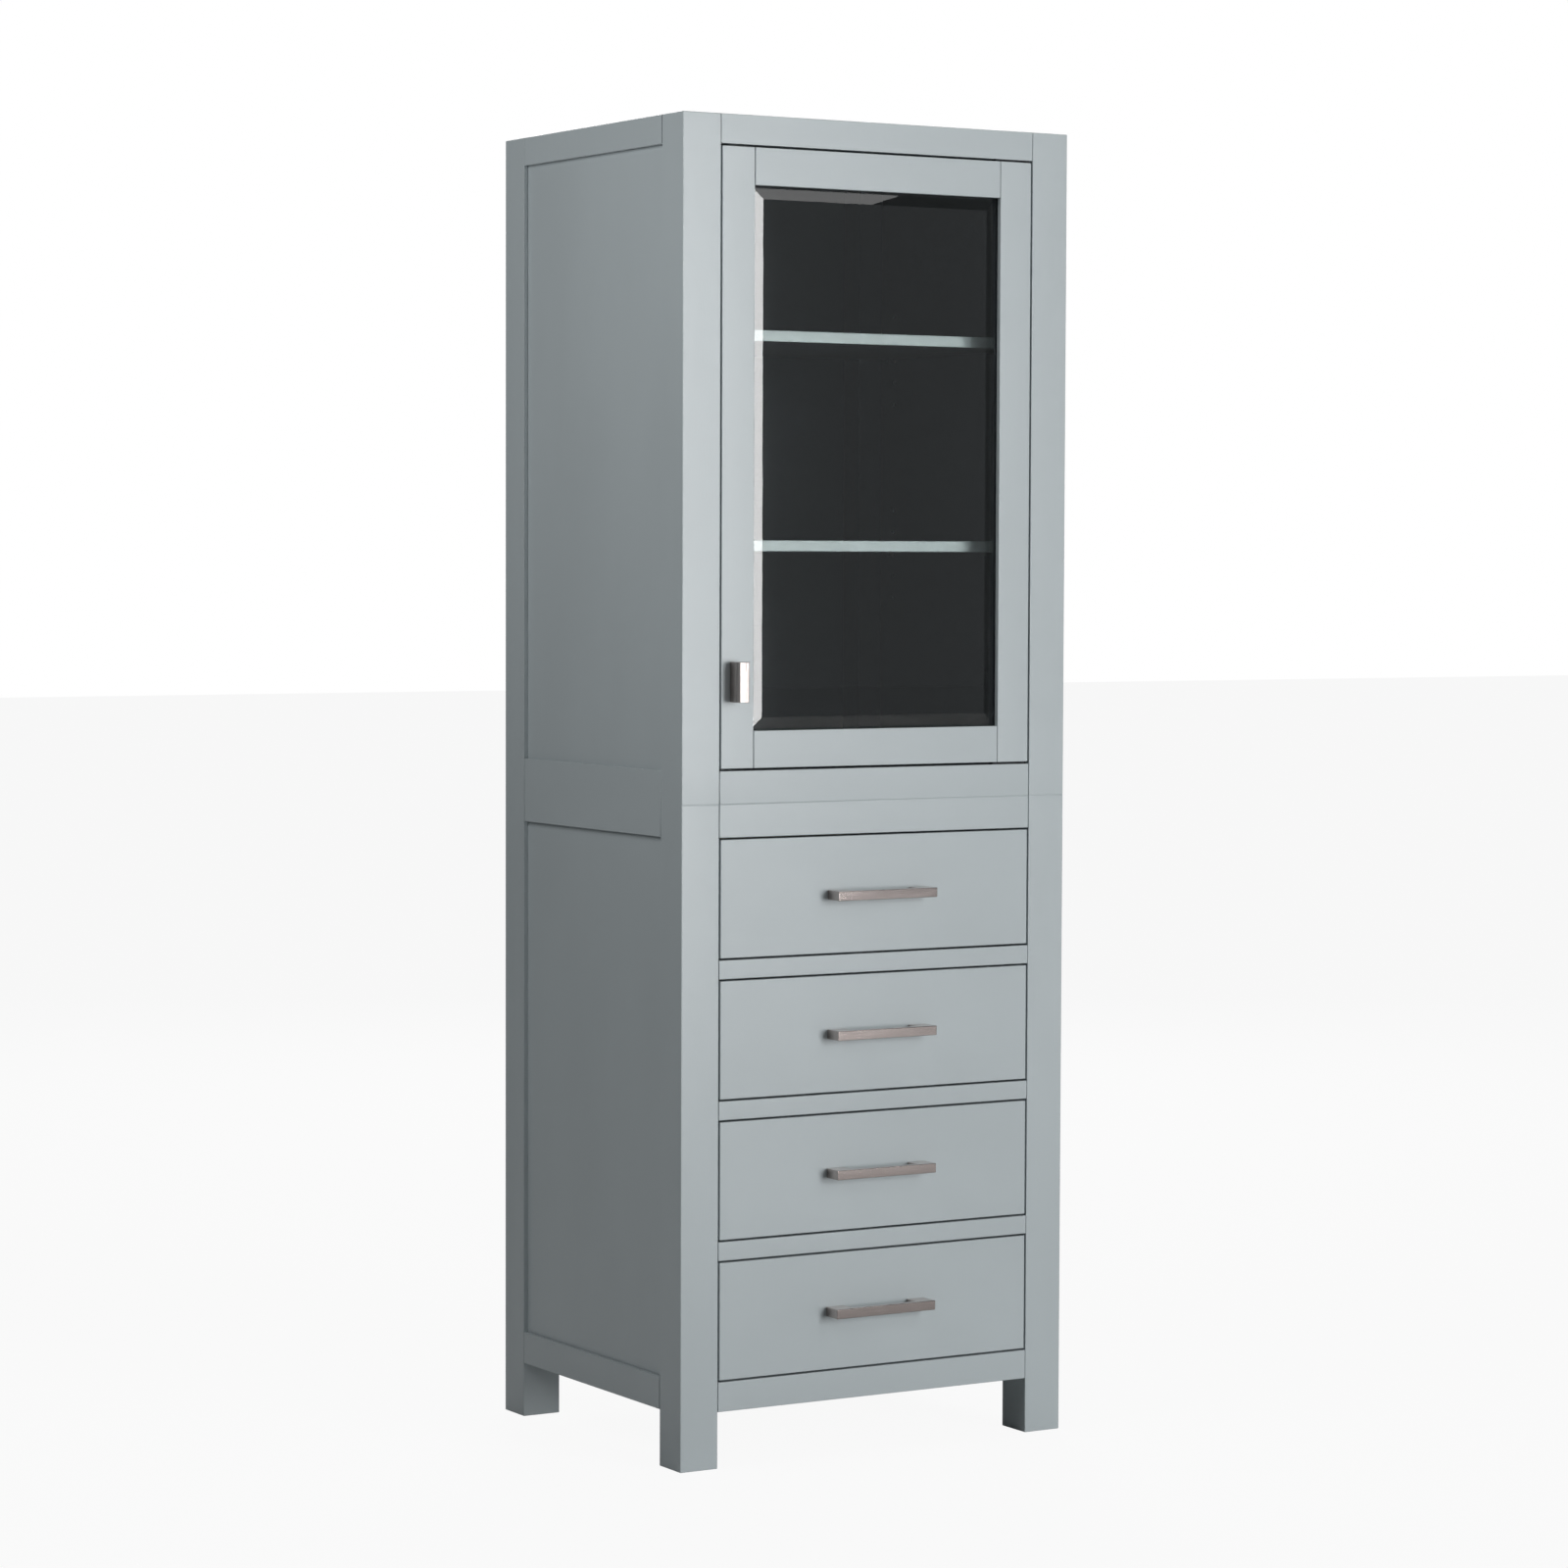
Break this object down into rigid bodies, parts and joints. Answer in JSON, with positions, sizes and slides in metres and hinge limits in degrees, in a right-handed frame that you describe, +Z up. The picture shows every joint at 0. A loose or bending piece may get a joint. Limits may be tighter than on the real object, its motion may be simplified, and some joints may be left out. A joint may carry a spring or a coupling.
{
  "type": "pantry cabinet",
  "caption": "Tall narrow pantry cabinet on square legs: a bevelled-glass door over shelves, and a bank of inset drawers with bar pulls below, in grey paint.",
  "frame": {"origin": "on the floor, under the middle of the whole object's box (pulls included)", "axes": "+Z up, the door and drawers face -Y, +X to the right of someone facing the cabinet"},
  "size_m": [0.6096, 0.538, 1.8034],
  "materials": {
    "grey_paint": "satin cool grey lacquer on hardwood and board",
    "charcoal_paint": "matt dark charcoal paint",
    "birch": "clear-coated birch",
    "brushed_nickel": "brushed nickel plate, slightly warm",
    "zinc_steel": "zinc-plated pressed steel",
    "black_plastic": "moulded matt black",
    "bevelled_glass": "clear, bevelled round the edge of its front face"
  },
  "bodies": {
    "case": {"post_front_left": "grey_paint", "post_front_right": "grey_paint", "post_back_left": "grey_paint", "post_back_right": "grey_paint", "side_rail_top_left": "grey_paint", "side_rail_top_right": "grey_paint", "side_rail_middle_left": "grey_paint", "side_rail_middle_right": "grey_paint", "side_rail_bottom_left": "grey_paint", "side_rail_bottom_right": "grey_paint", "front_rail_top": "grey_paint", "front_rail_middle": "grey_paint", "front_rail_bottom": "grey_paint", "drawer_divider_1": "grey_paint", "drawer_divider_2": "grey_paint", "drawer_divider_3": "grey_paint", "back_rail_middle": "grey_paint", "side_panel_upper_left": "grey_paint", "side_panel_upper_right": "grey_paint", "side_panel_lower_left": "grey_paint", "side_panel_lower_right": "grey_paint", "back_panel_upper": "charcoal_paint", "back_panel_lower": "birch", "top_panel": "grey_paint", "deck_panel": "grey_paint", "bottom_panel": "grey_paint", "shelf_lower": "grey_paint", "shelf_upper": "grey_paint", "case_hinge_leaf_bottom": "zinc_steel", "case_hinge_leaf_top": "zinc_steel", "door_catch": "black_plastic", "drawer_1_track": "zinc_steel", "drawer_2_track": "zinc_steel", "drawer_3_track": "zinc_steel", "drawer_4_track": "zinc_steel"},
    "door": {"door_stile_latch": "grey_paint", "door_stile_hinge": "grey_paint", "door_rail_top": "grey_paint", "door_rail_bottom": "grey_paint", "door_glass": "bevelled_glass", "door_glass_bead": "grey_paint", "door_knob": "brushed_nickel", "door_hinge_leaf_bottom": "zinc_steel", "door_hinge_leaf_top": "zinc_steel"},
    "drawer_1": {"drawer_1_front": "grey_paint", "drawer_1_box": "birch", "drawer_1_pull": "brushed_nickel", "drawer_1_runner": "zinc_steel"},
    "drawer_2": {"drawer_2_front": "grey_paint", "drawer_2_box": "birch", "drawer_2_pull": "brushed_nickel", "drawer_2_runner": "zinc_steel"},
    "drawer_3": {"drawer_3_front": "grey_paint", "drawer_3_box": "birch", "drawer_3_pull": "brushed_nickel", "drawer_3_runner": "zinc_steel"},
    "drawer_4": {"drawer_4_front": "grey_paint", "drawer_4_box": "birch", "drawer_4_pull": "brushed_nickel", "drawer_4_runner": "zinc_steel"}
  },
  "joints": [
    {"name": "door_hinge", "type": "hinge", "parent": "case", "child": "door", "pos_m": [0.23715, -0.233, 1.3497], "axis": [0, 0, 1], "range_deg": [0, 110]},
    {"name": "drawer_1_slide", "type": "slide", "parent": "case", "child": "drawer_1", "axis": [0, -1, 0], "range_m": [0, 0.3]},
    {"name": "drawer_2_slide", "type": "slide", "parent": "case", "child": "drawer_2", "axis": [0, -1, 0], "range_m": [0, 0.3]},
    {"name": "drawer_3_slide", "type": "slide", "parent": "case", "child": "drawer_3", "axis": [0, -1, 0], "range_m": [0, 0.3]},
    {"name": "drawer_4_slide", "type": "slide", "parent": "case", "child": "drawer_4", "axis": [0, -1, 0], "range_m": [0, 0.3]}
  ]
}
